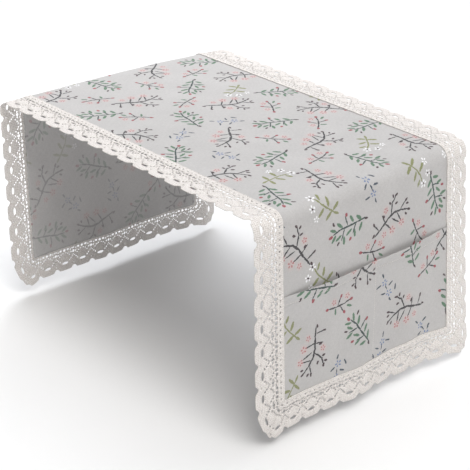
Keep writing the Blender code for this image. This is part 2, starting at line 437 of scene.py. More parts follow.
def lace_edge(along, half_length, pitch):
    """How far the scalloped edge lies from the seam, with a round lobe at each corner."""
    past = abs(along) - half_length - pitch
    if past > 0.0:
        centre = LACE_WIDTH - NOTCH_DEPTH - CORNER_LOBE_RADIUS
        return centre + math.sqrt(max(0.0, CORNER_LOBE_RADIUS**2 - past**2))
    phase = (along + half_length) / pitch
    from_notch = abs(phase - round(phase))
    bite = BITE_DEPTH * max(0.0, 1.0 - (from_notch / BITE_PHASE) ** 2)
    crown = (NOTCH_DEPTH - BITE_DEPTH) * (1.0 - 2.0 * from_notch) ** 2
    picot = PICOT_HEIGHT * (abs(math.sin(math.pi * phase * PICOTS)) - PICOT_MIDDLE)
    return LACE_WIDTH - bite - crown + picot


# %% The outline of a strip and its holes
CHART_PITCH = 0.030
NOTCH_LINE = 0.0149
HOLE_CORNERS = 10
SLIT_CORNERS = 16
SLIT_LENGTH = 0.004
EDGE_ROOM = 0.0010
MITRE_SHARE = 0.4
SEAM_POINT_STEP = 0.0030


def lace_outline(mesh, half_length, pitch):
    """The closed outline of a strip, with spare repeats at both ends that the mitres cut off."""
    far = half_length + (SPARE_REPEATS - 0.5) * pitch
    count = round(2 * far / pitch * EDGE_SAMPLES)
    places = [far - 2 * far * step / count for step in range(count + 1)]
    seam_count = round(2 * far / SEAM_POINT_STEP)
    corners = [(-far + 2 * far * step / seam_count, 0.0) for step in range(seam_count + 1)]
    corners += [(along, lace_edge(along, half_length, pitch)) for along in places]
    verts = [mesh.verts.new((along, across, 0.0)) for along, across in corners]
    for first, second in zip(verts, verts[1:] + verts[:1]):
        mesh.edges.new((first, second))


def lace_hole(mesh, along, across, half_long, half_wide):
    """One hole: a circle that is stretched to its shape and moved to its place."""
    corners = SLIT_CORNERS if half_long > SLIT_LENGTH else HOLE_CORNERS
    place = Matrix.Translation((along, across, 0.0)) @ Matrix.Diagonal((half_long, half_wide, 1.0, 1.0))
    bmesh.ops.create_circle(mesh, cap_ends=False, segments=corners, radius=1.0, matrix=place)


def lace_holes(mesh, half_length, pitch, repeats):
    """All the holes of a strip that lie clear of its edge and this side of the mitres."""
    count = 0
    for number in range(-SPARE_REPEATS, repeats + SPARE_REPEATS):
        middle = -half_length + (number + 0.5) * pitch
        for offset, across, half_long, half_wide in LACE_HOLES:
            on_mirror = offset == 0.0 or offset > NOTCH_LINE
            for side in (1.0,) if on_mirror else (-1.0, 1.0):
                along = middle + side * (offset * (pitch / CHART_PITCH))
                reaches = (-half_long, 0.0, half_long)
                edge = min(lace_edge(along + reach, half_length, pitch) for reach in reaches)
                this_side = half_length + across - abs(along) > MITRE_SHARE * half_long
                if this_side and across + half_wide + EDGE_ROOM < edge:
                    lace_hole(mesh, along, across, half_long, half_wide)
                    count += 1
    return count


# %% Fill one strip of lace
MITRE_ROOM = 0.0002
LACE_FACE = 0.0021
LACE_SPLITS = 2
RIM_DROP = 0.00014
BAR_RISE = 0.00016


def fill_lace(half_length, repeats):
    """The flat strip: outline, holes, fill, mitred ends, and the relief of its bars."""
    mesh = bmesh.new()
    pitch = 2.0 * half_length / repeats
    lace_outline(mesh, half_length, pitch)
    holes = lace_holes(mesh, half_length, pitch, repeats)
    bmesh.ops.triangle_fill(mesh, use_beauty=True, use_dissolve=False, edges=mesh.edges[:], normal=(0, 0, 1))
    for side in (-1.0, 1.0):
        corner = Vector((side * (half_length - MITRE_ROOM), 0.0, 0.0))
        cut(mesh, corner, Vector((side, -1.0, 0.0)), clear_outer=True)
    for _ in range(LACE_SPLITS):
        inner = [edge for edge in mesh.edges if not edge.is_boundary]
        long_edges = [edge for edge in inner if edge.calc_length() > LACE_FACE]
        bmesh.ops.subdivide_edges(mesh, edges=long_edges, cuts=1)
        bmesh.ops.triangulate(mesh, faces=mesh.faces[:])
    flat_area = sum(face.calc_area() for face in mesh.faces)
    for vert in mesh.verts:
        vert.co.z = -RIM_DROP if vert.is_boundary else BAR_RISE
    return mesh, holes, flat_area


# %% Hang the four strips
LACE_THICKNESS = 0.0006
LACE_CLEARANCE = 0.00022
LACE_ON_CLOTH = CLOTH_LIFT + (CLOTH_THICKNESS + LACE_THICKNESS) / 2 + LACE_CLEARANCE
LACE_ON_POCKET = POCKET_LIFT + (POCKET_THICKNESS + LACE_THICKNESS) / 2 + LACE_CLEARANCE
LACE_CLIMB = 0.004
LACE_FREE = 0.0001
FOOTING_WIDTH = 0.0060
FOOTING_SLOPE = 0.0090
LACE_ARCH = 0.0006
# Piece, solid, half length of its seam, repeats, which way it runs round the cover, and how it is laid:
# a place along and across the strip becomes a place (u, v) on the flat cloth
STRIPS = (
    (
        "cotton_lace_front", "lace_front", CLOTH_HALF_LENGTH, LONG_REPEATS, 1.0,
        lambda along, across: (along, -CLOTH_HALF_DEPTH - across),
    ),
    (
        "cotton_lace_back", "lace_back", CLOTH_HALF_LENGTH, LONG_REPEATS, -1.0,
        lambda along, across: (along, CLOTH_HALF_DEPTH + across),
    ),
    (
        "cotton_lace_hem_right", "lace_hem_right", CLOTH_HALF_DEPTH, SHORT_REPEATS, 1.0,
        lambda along, across: (CLOTH_HALF_LENGTH + across, along),
    ),
    (
        "cotton_lace_hem_left", "lace_hem_left", CLOTH_HALF_DEPTH, SHORT_REPEATS, -1.0,
        lambda along, across: (-CLOTH_HALF_LENGTH - across, along),
    ),
)


def lace_lift(u, v):
    """The footing lies on the cloth, and on the pocket where that reaches; the rest hangs free."""
    across = max(abs(u) - CLOTH_HALF_LENGTH, abs(v) - CLOTH_HALF_DEPTH)
    climb = eased(u, POCKET_MOUTH - LACE_CLIMB, POCKET_MOUTH)
    seat = LACE_ON_CLOTH + (LACE_ON_POCKET - LACE_ON_CLOTH) * climb
    free = eased(across, FOOTING_WIDTH, FOOTING_WIDTH + FOOTING_SLOPE)
    arch = LACE_ARCH * math.sin(math.pi * min(1.0, max(0.0, across / LACE_WIDTH))) * free
    return seat + (LACE_FREE - seat) * free + arch + pucker(u, v)


def make_lace(name, node, half_length, repeats, lay):
    """Fills a strip, lays it along its seam and hangs it."""
    mesh, holes, flat_area = fill_lace(half_length, repeats)
    for vert in mesh.verts:
        vert.co.xy = lay(vert.co.x, vert.co.y)
    mesh.normal_update()
    cut_bends(mesh)
    strip = hang(mesh, name, LACE_THICKNESS, lace_lift)
    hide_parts(node)
    print(name, "holes:", holes, "faces:", len(strip.data.polygons), "flat area:", round(flat_area, 5))
    return strip


lace_strips = [
    make_lace(name, node, half_length, repeats, lay)
    for name, node, half_length, repeats, way, lay in STRIPS
]

# %% [markdown]
# ## The cord along the lace
#
# Such lace is edged with a thicker thread, so its outline doesn't fray, and a second one runs along the
# footing. A curve with a round section is the quick way to a cord: its points are the draped points of the
# edge, it closes on itself round the whole cover, and it is then turned into a mesh.

# %% Lay the cords
CORD_RADIUS = 0.0005
CORD_INSET = 0.0004
CORD_MITRE_ROOM = 0.0004
CORD_SAMPLES = 20
FOOT_CORD_ACROSS = 0.0005
FOOT_CORD_STEP = 0.004
# Front, right, back and left, each with its half length, its repeats, its way round and how it is laid
ROUND_THE_COVER = [STRIPS[number][2:] for number in (0, 2, 1, 3)]


def edge_loop():
    """The scalloped edge of all four strips as one closed row of flat places."""
    places = []
    for half_length, repeats, way, lay in ROUND_THE_COVER:
        pitch = 2.0 * half_length / repeats
        far = half_length + LACE_WIDTH
        count = round(2 * far / pitch * CORD_SAMPLES)
        for step in range(count):
            along = -far + 2 * far * (step + 0.5) / count
            across = lace_edge(along, half_length, pitch) - CORD_INSET
            if across - CORD_MITRE_ROOM > abs(along) - half_length:
                places.append(lay(way * along, across))
    return places


def foot_loop():
    """The inner edge of the lace as one closed row of flat places."""
    places = []
    for half_length, _, way, lay in ROUND_THE_COVER:
        count = round(2 * half_length / FOOT_CORD_STEP)
        for step in range(count):
            along = -half_length + 2 * half_length * (step + 0.5) / count
            places.append(lay(way * along, FOOT_CORD_ACROSS))
    return places


def lay_cords(name):
    """Both cords as one mesh."""
    curve = bpy.data.curves.new(name, "CURVE")
    curve.dimensions = "3D"
    curve.bevel_depth = CORD_RADIUS
    curve.bevel_resolution = 1
    for places, rise in ((edge_loop(), 0.0), (foot_loop(), LACE_THICKNESS / 2)):
        spline = curve.splines.new("POLY")
        spline.points.add(len(places) - 1)
        spline.use_cyclic_u = True
        for point, (u, v) in zip(spline.points, places):
            point.co = (*drape(u, v, lace_lift(u, v) + rise), 1.0)
    drawn = bpy.data.objects.new(name, curve)
    data = bpy.data.meshes.new_from_object(drawn)
    data.name = name
    for face in data.polygons:
        face.use_smooth = True
    bpy.data.objects.remove(drawn)
    bpy.data.curves.remove(curve)
    return add_object(name, data)


lace_cords = lay_cords("lace_cords")
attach(lace_cords, "root")
print("cord faces:", len(lace_cords.data.polygons))

# %% [markdown]
# ## The stitches
#
# A row of machine stitches holds the lace to the cloth, another holds the hem of the pocket's mouth and a
# third one parts the pocket in two. One stitch is a short thick thread that dips into the cloth at both
# ends, so a small sphere that is stretched along the seam is enough. There are hundreds of them, so each has
# few faces, and all of them are one piece.

# %% One row of stitches
STITCH_STEP = 0.0030
STITCH_HALF_LONG = 0.00118
STITCH_HALF_WIDE = 0.00024
STITCH_HALF_THICK = 0.00018
STITCH_BATCH = 24


def keep_batch(mesh, batch):
    """Moves a batch of stitches into the piece; small batches keep the sphere operator quick."""
    data = mesh_data(batch, "stitch batch")
    mesh.from_mesh(data)
    bpy.data.meshes.remove(data)


def sew(mesh, start, end, lift):
    """A row of stitches between two flat places."""
    start, end = Vector(start), Vector(end)
    count = max(1, round((end - start).length / STITCH_STEP))
    batch = bmesh.new()
    for number in range(count):
        if number % STITCH_BATCH == STITCH_BATCH - 1:
            keep_batch(mesh, batch)
            batch = bmesh.new()
        first = start.lerp(end, number / count)
        last = start.lerp(end, (number + 1) / count)
        middle = (first + last) / 2
        behind, place, ahead = [drape(*spot, lift(*spot)) for spot in (first, middle, last)]
        along = (ahead - behind).normalized()
        beside = outward(*middle).cross(along).normalized()
        up = along.cross(beside)
        axes = (along * STITCH_HALF_LONG, beside * STITCH_HALF_WIDE, up * STITCH_HALF_THICK)
        matrix = Matrix.Translation(place) @ Matrix(axes).transposed().to_4x4()
        bmesh.ops.create_uvsphere(batch, u_segments=6, v_segments=4, radius=1.0, matrix=matrix)
    keep_batch(mesh, batch)
    return count


# %% Sew the seams
SEAM_INSET = 0.0014
MITRE_SEAM = (0.003, 0.033)
HEM_SEAM_INSET = 0.0016
DIVIDER_START = 0.001
RISE_ON_LACE = 0.0001
RISE_ON_POCKET = 0.00004


def on_lace(u, v):
    """How far a stitch in the lace stands off."""
    return lace_lift(u, v) + LACE_THICKNESS / 2 + RISE_ON_LACE


def on_pocket(u, v):
    """How far a stitch in the pocket stands off."""
    return pocket_lift(u, v) + POCKET_THICKNESS / 2 + RISE_ON_POCKET


stitch_mesh = bmesh.new()
seam_v = CLOTH_HALF_DEPTH + SEAM_INSET
seam_u = CLOTH_HALF_LENGTH + SEAM_INSET
stitches = 0
for side in (-1.0, 1.0):
    stitches += sew(stitch_mesh, (-seam_u, side * seam_v), (seam_u, side * seam_v), on_lace)
    stitches += sew(stitch_mesh, (side * seam_u, -seam_v), (side * seam_u, seam_v), on_lace)
    for end in (-1.0, 1.0):
        near, far = [
            (end * (CLOTH_HALF_LENGTH + reach), side * (CLOTH_HALF_DEPTH + reach)) for reach in MITRE_SEAM
        ]
        stitches += sew(stitch_mesh, near, far, on_lace)
hem_turns = (-CLOTH_HALF_DEPTH, -0.066, -0.026, DIVIDER_V, 0.050, 0.090, CLOTH_HALF_DEPTH)
hem_places = [(POCKET_MOUTH + mouth_sag(v) + MOUTH_HEM - HEM_SEAM_INSET, v) for v in hem_turns]
for first, second in zip(hem_places, hem_places[1:]):
    stitches += sew(stitch_mesh, first, second, on_pocket)
divider_top = POCKET_MOUTH + mouth_sag(DIVIDER_V) + DIVIDER_START
stitches += sew(stitch_mesh, (divider_top, DIVIDER_V), (CLOTH_HALF_LENGTH, DIVIDER_V), on_pocket)
for face in stitch_mesh.faces:
    face.smooth = True
seam_stitches = add_object("seam_stitches", mesh_data(stitch_mesh, "seam_stitches"))
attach(seam_stitches, "root")
print("stitches:", stitches)

# %% [markdown]
# ## Nodes in short
#
# The finishes below are built from many small nodes. Short helpers keep them readable: one adds a node and
# wires or fills its inputs, and the others give the result of one node, such as a sum. A colour is given as
# the eye sees it, from 0 to 255, and turned into the linear value that the renderer works with.

# %% Node helpers
def add_node(tree, kind, inputs=(), **settings):
    """Adds a node, sets its options, and wires or fills its inputs."""
    node = tree.nodes.new(kind)
    for name, value in settings.items():
        setattr(node, name, value)
    for socket, value in inputs:
        if isinstance(value, bpy.types.NodeSocket):
            tree.links.new(value, node.inputs[socket])
        else:
            node.inputs[socket].default_value = value
    return node


def total(tree, operation, first, second=0.0, third=0.0, clamp=False):
    """The result of one Math node."""
    inputs = ((0, first), (1, second), (2, third))
    return add_node(tree, "ShaderNodeMath", inputs, operation=operation, use_clamp=clamp).outputs[0]


def vector_total(tree, operation, first, second=(0.0, 0.0, 0.0)):
    """The vector result of one Vector Math node."""
    return add_node(tree, "ShaderNodeVectorMath", ((0, first), (1, second)), operation=operation).outputs[0]


def scaled(tree, place, factor):
    """A place or a colour times one number."""
    return add_node(tree, "ShaderNodeVectorMath", ((0, place), (3, factor)), operation="SCALE").outputs[0]


def length(tree, place):
    """How far a place is from the middle."""
    return add_node(tree, "ShaderNodeVectorMath", ((0, place),), operation="LENGTH").outputs["Value"]


def parts_of(tree, place):
    """The X, the Y and the Z of a place."""
    return add_node(tree, "ShaderNodeSeparateXYZ", ((0, place),)).outputs


def join_parts(tree, x, y):
    """A place on the flat from its X and its Y."""
    return add_node(tree, "ShaderNodeCombineXYZ", ((0, x), (1, y), (2, 0.0))).outputs[0]


def noise(tree, place, scale, detail):
    """The value Fac and the Color of a noise."""
    inputs = (("Vector", place), ("Scale", scale), ("Detail", detail))
    return add_node(tree, "ShaderNodeTexNoise", inputs).outputs


# %% Colours and node groups
# Of a Mix node that mixes colours: its factor, its two colours and its result
MIX_SOCKETS = (0, 6, 7)
MIX_RESULT = 2


def linear(red, green, blue):
    """A colour from 0 to 255 as linear light, with full opacity."""
    parts = []
    for part in (red, green, blue):
        part /= 255.0
        parts.append(part / 12.92 if part <= 0.04045 else ((part + 0.055) / 1.055) ** 2.4)
    return (*parts, 1.0)


def mix_colour(tree, mask, under, over):
    """Lays one colour over another where the mask is 1."""
    inputs = zip(MIX_SOCKETS, (mask, under, over))
    return add_node(tree, "ShaderNodeMix", inputs, data_type="RGBA").outputs[MIX_RESULT]


def new_group(name, inputs, outputs):
    """An empty node group with sockets of given names, kinds and starting values."""
    tree = bpy.data.node_groups.new(name, "ShaderNodeTree")
    for label, kind, value in inputs:
        socket = tree.interface.new_socket(label, in_out="INPUT", socket_type="NodeSocket" + kind)
        if value is not None:
            socket.default_value = value
    for label, kind in outputs:
        tree.interface.new_socket(label, in_out="OUTPUT", socket_type="NodeSocket" + kind)
    return tree, tree.nodes.new("NodeGroupInput").outputs, tree.nodes.new("NodeGroupOutput").inputs


def use_group(tree, group, inputs):
    """Places a node group in a tree, wires or fills its inputs and returns its outputs."""
    return add_node(tree, "ShaderNodeGroup", inputs, node_tree=group).outputs


# %% [markdown]
# ## The weave
#
# Cotton and linen cloth is a plain weave with threads of uneven thickness. The unevenness runs along each
# thread, so two noises are stretched, one along the cloth and one across it, and added. The same values
# give the small hills of the threads and a faint change of colour.

# %% The weave group
SLUB_LENGTH = 7.0
THREAD_SCALE = 1.35
CLOUD_SCALE = 0.02
THREAD_SHADE = 0.8
CLOUD_SHADE = 0.5
# The part of a place that runs along a thread, and the part that runs across it
THREAD_WAYS = (((1.0, 0.0, 0.0), (0.0, 1.0, 1.0)), ((0.0, 1.0, 0.0), (1.0, 0.0, 1.0)))


def make_weave_group():
    """Height and shade of a slubby plain weave; the place comes in millimetres."""
    tree, given, result = new_group(
        "slubby weave",
        (("Place", "Vector", None), ("Slub length", "Float", SLUB_LENGTH)),
        (("Height", "Float"), ("Shade", "Float")),
    )
    shorter = total(tree, "DIVIDE", 1.0, given["Slub length"])
    heights = []
    for thread, beside in THREAD_WAYS:
        along = scaled(tree, vector_total(tree, "MULTIPLY", given["Place"], thread), shorter)
        across = vector_total(tree, "MULTIPLY", given["Place"], beside)
        heights.append(noise(tree, vector_total(tree, "ADD", across, along), THREAD_SCALE, 2.0)["Fac"])
    both = total(tree, "ADD", heights[0], heights[1])
    tree.links.new(total(tree, "MULTIPLY", both, 0.5), result["Height"])
    threads = total(tree, "MULTIPLY_ADD", both, THREAD_SHADE, -THREAD_SHADE)
    cloud = noise(tree, given["Place"], CLOUD_SCALE, 2.0)["Fac"]
    clouds = total(tree, "MULTIPLY_ADD", cloud, CLOUD_SHADE, -CLOUD_SHADE / 2)
    tree.links.new(total(tree, "ADD", threads, clouds), result["Shade"])
    return tree


weave_group = make_weave_group()
print("weave nodes:", len(weave_group.nodes))

# %% [markdown]
# ## The printed flowers
#
# The print is a scatter of small sprays in a few inks. It could be drawn as a picture, but here it is drawn
# by nodes: a brush stroke is an ellipse, given by its middle, its turn and its two half sizes in
# millimetres, and a bloom is a ring of five petals round an open middle. Each spray is a short chart of such
# strokes, and it becomes one node group that paints its inks over the colour that comes in.

# %% Brush strokes and blooms
# The inks bleed a little past each stroke, and a stroke's thin ends fade, so it is drawn a little longer
BLEED = 0.36
STROKE_REACH = 1.16
STROKE_EDGE = (0.84, 1.08)
# A bloom's ring of petals: how many, the ring's radius, a petal's half length and the gap between petals
PETALS = 5
RING_RADIUS = 0.6
PETAL_HALF_LENGTH = 0.4
PETAL_GAP = 1.30


def fit_stroke(tree, place, row, half_long, half_wide):
    """The place as a stroke sees it: 0 at its middle and 1 at its edge, whichever way it is turned."""
    x, y, turn = row[:3]
    inputs = (
        ("Vector", place),
        ("Location", (x, y, 0.0)),
        ("Rotation", (0.0, 0.0, math.radians(turn))),
        ("Scale", (half_long, half_wide, 1.0)),
    )
    return add_node(tree, "ShaderNodeMapping", inputs, vector_type="TEXTURE").outputs[0]


def stroke_distance(tree, place, row):
    """How far a place is from the middle of a stroke: 1 at the stroke's edge."""
    half_long, half_wide = row[3:]
    return length(tree, fit_stroke(tree, place, row, half_long * STROKE_REACH + BLEED, half_wide + BLEED))


def petal_distance(tree, place, row):
    """The same for a bloom: a ring of five separate petals round an open middle."""
    fitted = fit_stroke(tree, place, row, row[3], row[3])
    parts = parts_of(tree, fitted)
    angle = total(tree, "ARCTAN2", parts["Y"], parts["X"])
    wave = total(tree, "SINE", total(tree, "MULTIPLY", angle, PETALS / 2))
    round_petal = total(tree, "MULTIPLY", wave, PETAL_GAP)
    off_ring = total(
        tree, "MULTIPLY_ADD", length(tree, fitted), 1 / PETAL_HALF_LENGTH, -RING_RADIUS / PETAL_HALF_LENGTH
    )
    return length(tree, join_parts(tree, off_ring, round_petal))


def nearest(tree, place, rows, measure):
    """How far a place is from the nearest stroke; each is compared as soon as it is measured."""
    least = measure(tree, place, rows[0])
    for row in rows[1:]:
        least = total(tree, "MINIMUM", least, measure(tree, place, row))
    return least


def inside(tree, distance, edge=STROKE_EDGE):
    """1 inside a stroke, 0 outside it, with a soft edge."""
    inputs = (("Value", distance), ("From Min", edge[1]), ("From Max", edge[0]))
    return add_node(tree, "ShaderNodeMapRange", inputs, interpolation_type="SMOOTHSTEP").outputs[0]


# %% The charts of the sprays, in millimetres
# Strokes: x, y, turn in degrees, half length, half width. Blooms: x, y, turn, radius.
BLOSSOM_BRANCH = {
    "bark": (
        (-17.5, -13, 34, 6.2, 0.7), (-8, -7, 30, 6.4, 0.95), (1, -0.5, 45, 6.2, 1), (6, 7.5, 68, 5.6, 0.85),
        (8.5, 16, 80, 4.8, 0.6), (-10.5, -1.5, 112, 5.2, 0.5), (8, -3.5, -18, 6.2, 0.6),
        (16.5, -4, 14, 4.2, 0.45), (0.5, 11.5, 128, 5.6, 0.5), (13, 12, 22, 4.2, 0.45),
        (-14, -18, -62, 4, 0.45), (-4.2, -11.2, -48, 4.4, 0.45), (-3.6, 7.5, 102, 6, 0.45),
    ),
    "bud": (
        (21.8, -2.6, 38, 1.8, 1), (19.6, -7, -48, 1.7, 0.9), (12.2, -8.2, -70, 1.7, 0.9),
        (13.6, 1.2, 58, 1.6, 0.9), (18.4, 14.4, 26, 1.8, 1), (15.2, 17.6, 72, 1.6, 0.9),
        (9.4, 22.4, 96, 1.8, 1), (4.6, 20.2, 124, 1.5, 0.85), (-22.8, -18.6, 20, 1.7, 0.95),
        (-11.6, -22.6, -50, 1.7, 0.95), (-2, -11.6, -60, 1.6, 0.9),
    ),
    "petal": ((-4.5, 17.5, 20, 3.9), (-13.5, 6.8, 60, 4.2), (-19.5, -3.5, 100, 3.2), (4.5, -11.5, 10, 3.4)),
}
GREEN_SPRAY = {
    "stem": (
        (-13, -12.5, 44, 5.6, 0.6), (-5, -5, 42, 6, 0.75), (3.5, 2, 38, 6, 0.7), (10.5, 9, 52, 5.2, 0.55),
        (-9.5, -2.5, 105, 4.8, 0.45), (5.5, -4.5, -35, 5, 0.45), (1.5, 8.5, 108, 5.2, 0.45),
    ),
    "leaf": (
        (-16.5, -6.5, 104, 3.8, 1.3), (-8.5, -13.5, -6, 4, 1.4), (-5, 3.5, 74, 3.8, 1.2),
        (0, -9, -20, 3.8, 1.3), (-3.5, 13, 128, 3.8, 1.3), (5, 13.5, 66, 3.6, 1.2),
        (11.5, 2.5, -4, 4.2, 1.4), (16.5, 10, 12, 3.8, 1.2), (10.5, 16.5, 88, 3.6, 1.2),
        (-13, 1.5, 128, 3.2, 1.1),
    ),
    "berry": ((15.4, 16.8, 50, 2, 1.45), (9.6, -9.4, -40, 1.8, 1.3), (-11, 8.4, 100, 1.7, 1.2)),
    "bud": ((-19, -16.2, 30, 1.9, 0.9), (2, 18.4, 84, 1.8, 0.8), (20, 4.6, -20, 1.9, 0.85)),
}
OLIVE_SPRAY = {
    "olive": (
        (-9, -2.5, 18, 5.6, 0.55), (0, 0.5, 20, 5.6, 0.6), (7.5, 4.5, 36, 4.4, 0.5),
        (-13.5, 2, 118, 4.2, 1.35), (-7.5, -8, -64, 4.4, 1.35), (-3, 5.5, 78, 4.2, 1.3),
        (3.5, -5.5, -66, 4.4, 1.3), (6.5, 10, 84, 3.4, 1.1), (-16.5, -4.5, 190, 3, 1),
    ),
    "white": ((14.5, 8.5, 30, 4.6), (15.5, -3, 70, 4.2), (8, -12, 10, 3.6)),
    "bud": ((14.5, 8.5, 40, 0.9, 0.6), (15.5, -3, 10, 0.9, 0.6)),
}
BLUE_SPRAY = {
    "outline": ((-7, -3, 20, 4.4), (6, 4.5, 60, 4)),
    "slate": (
        (-12, 5, 60, 3, 0.7), (-3, 6.5, 110, 2.6, 0.65), (0.5, -6.5, -30, 2.8, 0.65),
        (11, -2, -60, 2.8, 0.65), (12.5, 10, 40, 2.4, 0.6), (-13, -8.5, 200, 2.2, 0.65),
        (1, 0.8, 30, 2.6, 0.45),
    ),
}
BERRY_TWIG = {
    "bark": (
        (-8, -5, 30, 5.4, 0.55), (0.5, 0.5, 36, 5.4, 0.6), (8, 7, 48, 4.6, 0.5), (-3, 4.5, 100, 4.2, 0.4),
        (6, -1.5, -20, 4.2, 0.4),
    ),
    "berry": (
        (-3.8, 9.8, 100, 1.7, 1.2), (11.2, -3.2, -30, 1.7, 1.2), (12.2, 11.4, 50, 1.8, 1.3),
        (-13.8, -8.4, 210, 1.7, 1.2),
    ),
    "petal": ((4.5, 12.5, 30, 3.2), (-9.5, 1, 70, 3.2)),
    "leaf": ((14, 4.5, 10, 3, 1), (-1, -7, -50, 3, 1)),
}

# %% The inks
GROUND = linear(187, 185, 184)
INKS = {
    "bark": linear(36, 34, 40),
    "bud": linear(58, 34, 42),
    "stem": linear(34, 56, 54),
    "leaf": linear(80, 116, 90),
    "berry": linear(150, 66, 74),
    "petal": linear(176, 120, 121),
    "olive": linear(130, 134, 88),
    "white": linear(238, 238, 240),
    "outline": linear(108, 126, 164),
    "slate": linear(56, 68, 82),
}
ROUND_INKS = ("petal", "white", "outline")
INK_STRENGTH = 0.97
# A pale blush round each petal: its colour, its strength, its reach in petals and its soft edge
HALO = linear(203, 182, 180)
HALO_STRENGTH = 0.8
HALO_REACH = 1.75
HALO_EDGE = (0.15, 1.0)


# %% One group for each spray
def spray_group(name, chart):
    """A node group that paints one spray over the colour that comes in."""
    tree, given, result = new_group(
        name,
        (("Place", "Vector", None), ("Shown", "Float", 1.0), ("Colour", "Color", GROUND)),
        (("Colour", "Color"),),
    )
    colour = given["Colour"]
    place = given["Place"]
    shown = total(tree, "MULTIPLY", given["Shown"], INK_STRENGTH)
    if "petal" in chart:
        rows = [(x, y, 0, HALO_REACH * radius, HALO_REACH * radius) for x, y, _, radius in chart["petal"]]
        blush = inside(tree, nearest(tree, place, rows, stroke_distance), HALO_EDGE)
        mask = total(tree, "MULTIPLY", blush, total(tree, "MULTIPLY", shown, HALO_STRENGTH))
        colour = mix_colour(tree, mask, colour, HALO)
    for ink, rows in chart.items():
        near = nearest(tree, place, rows, petal_distance if ink in ROUND_INKS else stroke_distance)
        mask = total(tree, "MULTIPLY", inside(tree, near), shown)
        colour = mix_colour(tree, mask, colour, INKS[ink])
    tree.links.new(colour, result["Colour"])
    return tree


branch_group = spray_group("blossom branch", BLOSSOM_BRANCH)
green_group = spray_group("green spray", GREEN_SPRAY)
olive_group = spray_group("olive spray", OLIVE_SPRAY)
blue_group = spray_group("blue spray", BLUE_SPRAY)
twig_group = spray_group("berry twig", BERRY_TWIG)
print("nodes in the blossom branch:", len(branch_group.nodes))

# %% [markdown]
# ## Scattering the sprays
#
# A printed cloth repeats, but a good one doesn't look as if it does. The cloth is divided into cells. In
# every cell a random value, which depends only on the cell's number, turns the spray, flips it and moves it
# a little. Two such layers lie half a cell apart: one for the large sprays and one for the small ones.

# %% The scatter group
CELL = (84.0, 78.0)
JITTER = 9.0
SPRAY_SCALE = 1.2


def make_scatter_group():
    """The place inside a spray's own cell, turned and moved by the cell's random values."""
    tree, given, result = new_group(
        "spray scatter",
        (("Place", "Vector", None), ("Shift", "Vector", None), ("Seed", "Float", 0.0)),
        (("Place", "Vector"), ("Choice", "Float"), ("Parity", "Float")),
    )
    moved = vector_total(tree, "ADD", given["Place"], given["Shift"])
    in_cells = vector_total(tree, "DIVIDE", moved, (*CELL, 1.0))
    cell = vector_total(tree, "FLOOR", in_cells)
    local = vector_total(tree, "SUBTRACT", in_cells, cell)
    centred = vector_total(tree, "SUBTRACT", local, (0.5, 0.5, 0.0))
    sized = vector_total(tree, "MULTIPLY", centred, (*CELL, 0.0))
    inputs = (("Vector", cell), ("W", given["Seed"]))
    chance = add_node(tree, "ShaderNodeTexWhiteNoise", inputs, noise_dimensions="4D").outputs
    spread = vector_total(tree, "SUBTRACT", chance["Color"], (0.5, 0.5, 0.5))
    jitter = vector_total(tree, "MULTIPLY", spread, (JITTER, JITTER, 0.0))
    placed = vector_total(tree, "ADD", sized, jitter)
    turn = total(tree, "MULTIPLY", parts_of(tree, chance["Color"])["Z"], 2.0 * math.pi)
    inputs = (("Vector", placed), ("Angle", turn))
    turned = add_node(tree, "ShaderNodeVectorRotate", inputs, rotation_type="Z_AXIS").outputs[0]
    flip = total(tree, "MULTIPLY_ADD", total(tree, "ROUND", chance["Value"]), 2.0, -1.0)
    flipped = vector_total(tree, "MULTIPLY", turned, join_parts(tree, flip, 1.0))
    tree.links.new(scaled(tree, flipped, 1.0 / SPRAY_SCALE), result["Place"])
    tree.links.new(chance["Value"], result["Choice"])
    numbers = parts_of(tree, cell)
    both = total(tree, "ADD", numbers["X"], numbers["Y"])
    pairs = total(tree, "FLOOR", total(tree, "MULTIPLY", both, 0.5))
    odd = total(tree, "SUBTRACT", both, total(tree, "MULTIPLY", pairs, 2.0))
    tree.links.new(total(tree, "ABSOLUTE", odd), result["Parity"])
    return tree


scatter_group = make_scatter_group()
print("nodes in the scatter group:", len(scatter_group.nodes))

# %% Helpers for fabric
SPECULAR = 0.25
MILLIMETRES = 1000.0


def flat_millimetres(tree):
    """The place on the flat cloth in millimetres."""
    return scaled(tree, add_node(tree, "ShaderNodeUVMap", uv_map="flat").outputs[0], MILLIMETRES)


def new_fabric(name, sheen, sheen_roughness):
    """A material for fabric, with its node tree and its shader."""
    made = bpy.data.materials.new(name)
    made.use_nodes = True
    shader = made.node_tree.nodes["Principled BSDF"]
    shader.inputs["Specular IOR Level"].default_value = SPECULAR
    shader.inputs["Sheen Weight"].default_value = sheen
    shader.inputs["Sheen Roughness"].default_value = sheen_roughness
    return made, made.node_tree, shader


def dress(tree, shader, colour, roughness, height, strength, depth):
    """Wires the colour, the roughness and the relief of a fabric to its shader."""
    inputs = (("Strength", strength), ("Distance", depth), ("Height", height))
    bump = add_node(tree, "ShaderNodeBump", inputs).outputs[0]
    for socket, value in (("Base Color", colour), ("Roughness", roughness), ("Normal", bump)):
        tree.links.new(value, shader.inputs[socket])


# %% The printed cloth material
REVERSE_INK = 0.35
WOBBLE = 2.2
WOBBLE_SCALE = 0.35
DENSITY_SCALE = 0.9
LARGE_SEED = 3.0
SMALL_SEED = 8.0
OLIVE_BELOW = 0.34
TWIG_ABOVE = 0.68
# A factor and what is added, for the ink's density, the cloth's shade and its roughness
INK_DENSITY = (1.1, 0.42)
CLOTH_SHADE = (0.35, 1.0)
CLOTH_ROUGHNESS = (0.14, 0.80)
# The weight and the roughness of the sheen, and the strength and the depth of the relief
CLOTH_SHEEN = (0.15, 0.6)
CLOTH_RELIEF = (0.6, 0.0004)


